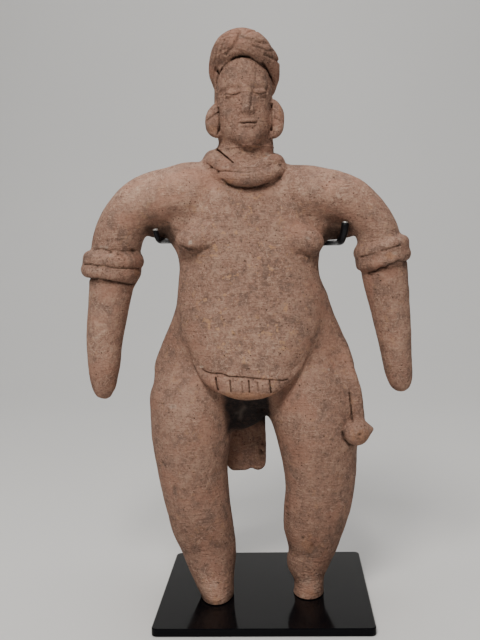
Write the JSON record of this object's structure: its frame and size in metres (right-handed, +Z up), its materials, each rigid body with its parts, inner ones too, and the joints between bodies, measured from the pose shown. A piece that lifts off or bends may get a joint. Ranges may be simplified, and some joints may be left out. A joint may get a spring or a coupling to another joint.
{
  "type": "figure sculpture",
  "caption": "Solid fired-clay standing figure with turban, collar and armbands, held upright by a bent steel cradle on a square black plate.",
  "frame": {"origin": "centre of the plate's underside", "axes": "+Z up along the figure, -Y the way the figure faces, +X the viewer's right"},
  "size_m": [0.1991, 0.127, 0.3445],
  "materials": {
    "fired_clay": "unglazed, matte, burial worn",
    "black_enamel": "gloss black enamel",
    "black_steel": "satin black, bare bright steel at the prong tips"
  },
  "bodies": {
    "root": {"figure": "fired_clay", "base_plate": "black_enamel", "cradle": "black_steel"}
  },
  "joints": []
}
